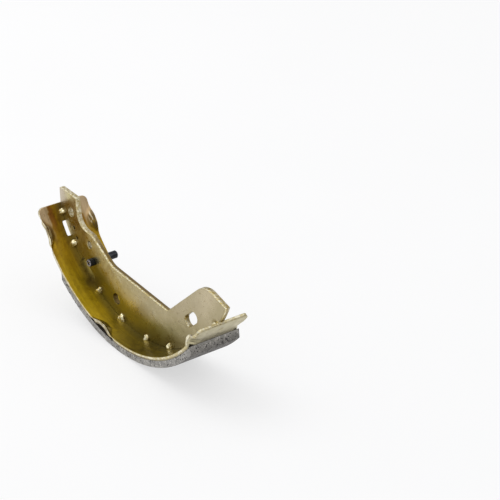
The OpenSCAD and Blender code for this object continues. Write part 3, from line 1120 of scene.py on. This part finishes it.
@dataclass(frozen=True)
class Peg:
    """Rolled steel peg: a wall rolled to a tube with a slit, and a chamfer at each end."""

    fit: DrumFit
    finish: BlackenedSteel
    angle: float = -36.8
    depth: float = 13.4
    diameter: float = 5.5
    wall: float = 1.2
    near: float = 4.0
    far: float = 15.0
    chamfer: float = 0.6
    waist: float = 0.2
    ease: float = 0.3
    slit: float = 0.9
    slit_turn: float = 200.0
    edge: float = 0.12
    steps: int = 72

    def build(self) -> Object:
        """Spins the section of the wall round the peg's own axis, short of a full turn."""
        bm = bmesh.new()
        middle = self.fit.at(self.angle, self.depth)
        gap = 2.0 * math.asin(self.slit / self.diameter)
        start = math.radians(self.slit_turn) + gap / 2.0
        turn = Matrix.Rotation(-start, 3, "Y")
        section = self._section()
        points = [middle + turn @ Vector((radius, across, 0.0)) for radius, across in section]
        radii = [self.edge if self._is_at_end(across) else 0.0 for _, across in section]
        draw_face(bm, points, radii, segments=2)
        spin(bm, bm.faces[:], middle, -AXIS_Y, 2.0 * math.pi - gap, self.steps)
        # Marks the ends of the peg, which get a painted highlight.
        patches = bm.verts.layers.float.new(HIGHLIGHT_ENDS)
        for vert in bm.verts:
            vert[patches] = float(self._is_at_end(vert.co.y))
        return finish_piece("stop_peg", bm, self.finish.build(), sharp_above=35.0)

    def _section(self) -> list[tuple[float, float]]:
        """Lists the corners of the wall, as radius and place along Y."""
        outer = self.diameter / 2.0
        inner, narrow = outer - self.wall, outer - self.waist
        face = self.fit.web_thickness / 2.0
        front, back = -face - self.near, face + self.far
        return [
            (inner, front),
            (outer - self.chamfer, front),
            (outer, front + self.chamfer),
            (outer, -face - 2.0 * self.ease),
            (narrow, -face - self.ease),
            (narrow, face + self.ease),
            (outer, face + 2.0 * self.ease),
            (outer, back - self.chamfer),
            (outer - self.chamfer, back),
            (inner, back),
        ]

    def _is_at_end(self, across: float) -> bool:
        """Tells whether a place along Y is at one of the peg's two ends."""
        face = self.fit.web_thickness / 2.0
        return across < -face - self.near + 0.2 or across > face + self.far - 0.2


# Studio


@dataclass(frozen=True)
class PhotoCamera:
    """Camera of the photograph, fitted to the arcs and corners of the shoe."""

    azimuth: float = 52.83
    elevation: float = 27.65
    distance: float = 1239.48
    aside: float = 72.49
    above: float = 63.0
    lens: float = 131.9

    def build(self) -> None:
        """Sets the camera up and makes it the scene's camera."""
        turn, rise = math.radians(self.azimuth), math.radians(self.elevation)
        back = Vector((math.sin(turn) * math.cos(rise), -math.cos(turn) * math.cos(rise), math.sin(rise)))
        right = Vector((math.cos(turn), math.sin(turn), 0.0))
        up = back.cross(right)
        data = bpy.data.cameras.new("photo_camera")
        data.lens = self.lens
        data.sensor_width = 36.0
        data.clip_end = 100.0
        camera = add_object("photo_camera", data)
        place = (back * self.distance + right * self.aside + up * self.above) * MM
        axes = Matrix((right, up, back)).transposed().to_4x4()
        camera.matrix_world = Matrix.Translation(place) @ axes
        bpy.context.scene.camera = camera


@dataclass(frozen=True)
class Studio:
    """Plain white floor under a soft sky, with one large soft lamp from the left."""

    floor_white: Color = (0.93, 0.93, 0.935)
    floor_glow: float = 0.6
    floor_radius: float = 9000.0
    floor_drop: float = 0.02
    zenith: Color = (1.0, 1.0, 1.01)
    horizon: Color = (0.38, 0.385, 0.39)
    sky_top: float = 0.9
    lamp_power: float = 5.0
    lamp_size: float = 1.1
    lamp_place: tuple[float, float, float] = (-0.75, -0.35, 1.25)

    def build(self) -> None:
        """Builds the floor, the world and the lamp."""
        self._build_floor()
        self._build_world()
        self._build_lamp()
        bpy.context.scene.view_settings.view_transform = "Standard"

    def _build_floor(self) -> None:
        """Lays a wide floor just under the shoe."""
        bm = bmesh.new()
        bmesh.ops.create_circle(bm, cap_ends=True, segments=96, radius=self.floor_radius)
        bmesh.ops.translate(bm, verts=bm.verts[:], vec=-AXIS_Z * self.floor_drop)
        sheet = ShaderSheet("studio_floor")
        faint = sheet.span(sheet.pattern(180.0, detail=2.0), 0.3, 0.7)
        dimmed = tuple(0.985 * part for part in self.floor_white)
        sheet.set(base_color=sheet.mix(faint, dimmed, self.floor_white))
        sheet.set(roughness=0.8, specular_ior_level=0.2)
        self._brighten(sheet)
        floor = finish_piece("studio_floor", bm, sheet.material)
        floor.modifiers.clear()

    def _brighten(self, sheet: ShaderSheet) -> None:
        """Lets the floor look nearly white to the camera and in the metal, shadow kept."""
        tree = sheet.tree
        rays = add_node(tree, "LightPath")
        seen = sheet.combine("MAXIMUM", rays["Is Camera Ray"], rays["Is Glossy Ray"])
        seen = sheet.combine("MAXIMUM", seen, rays["Is Transmission Ray"])
        glow = add_node(tree, "Emission")[0]
        parts = {0: sheet.times(seen, self.floor_glow), 1: sheet.shader.outputs[0], 2: glow}
        feed(tree, add_node(tree, "MixShader", parts)[0], tree.nodes["Material Output"].inputs["Surface"])

    def _build_world(self) -> None:
        """Makes a soft sky that is brighter overhead."""
        world = bpy.data.worlds.new("studio_sky")
        bpy.context.scene.world = world
        world.use_nodes = True
        tree = world.node_tree
        height = add_node(tree, "SeparateXYZ", {0: add_node(tree, "TexCoord")["Generated"]})["Z"]
        ends = {"Value": height, "From Max": self.sky_top}
        share = add_node(tree, "MapRange", ends, interpolation_type="SMOOTHSTEP")["Result"]
        color = add_node(tree, "Mix", {0: share, 6: self.horizon, 7: self.zenith}, data_type="RGBA")[2]
        feed(tree, color, tree.nodes["Background"].inputs["Color"])

    def _build_lamp(self) -> None:
        """Hangs one large soft lamp that faces the shoe."""
        data = bpy.data.lights.new("soft_lamp", "AREA")
        data.shape = "DISK"
        data.size = self.lamp_size
        data.energy = self.lamp_power
        lamp = add_object("soft_lamp", data)
        place = Vector(self.lamp_place)
        aim = place - Vector((0.0, 0.0, 0.03))
        lamp.matrix_world = Matrix.Translation(place) @ aim.to_track_quat("Z", "Y").to_matrix().to_4x4()


# This shoe


def web_zinc(fit: DrumFit) -> PlatedSteel:
    """Gives the finish of the web: pale gold, darkened towards the rim by painted shade."""
    return PlatedSteel(
        name="web_zinc",
        fit=fit,
        rolled=False,
        gold=(0.44, 0.375, 0.215),
        olive=(0.39, 0.325, 0.175),
        blush=(0.46, 0.39, 0.26),
        brown=(0.62, 0.54, 0.27),
        shade_tone=(0.205, 0.172, 0.037),
        pale=(0.55, 0.475, 0.36),
        white_reflection=(0.54, 0.46, 0.30),
        wall=(0.56, 0.43, 0.13),
        fleck_and_glint=(0.94, 0.89, 0.68),
        wall_brown=(0.52, 0.42, 0.20),
        fracture_and_shade=(0.16, 0.10, 0.022),
        brown_range=(-74.0, 40.0),
        shade_range=(87.5, 98.0),
        shade_end=(12.0, 76.0),
        pale_from=-3.0,
        break_at=0.35,
        cloud_size=30.0,
        roughness=0.30,
        coat=0.2,
    )


def main() -> None:
    """Builds the camera, the studio and every piece of the shoe."""
    logging.basicConfig(level=logging.INFO, format="%(message)s")
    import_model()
    PhotoCamera().build()
    Studio().build()
    low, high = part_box("rim")
    fit = DrumFit(width=round((high.y - low.y) / MM, 2))
    makers = (
        ("rim", "rim_steel", Rim(fit, PlatedSteel("rim_zinc", fit))),
        ("web", "web_steel", Web(fit, web_zinc(fit))),
        (None, "web_steel", WeldBeads(fit, WeldMetal())),
        ("friction_lining", "lining", Lining(fit, FrictionCompound(fit))),
        ("peg", "peg_steel", Peg(fit, BlackenedSteel())),
    )
    for node, slot, maker in makers:
        piece = maker.build()
        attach(piece, "root")
        if node is not None:
            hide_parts(node)
        LOG.info("%s: %d faces", piece.name, len(piece.data.polygons))


if __name__ == "__main__":
    main()
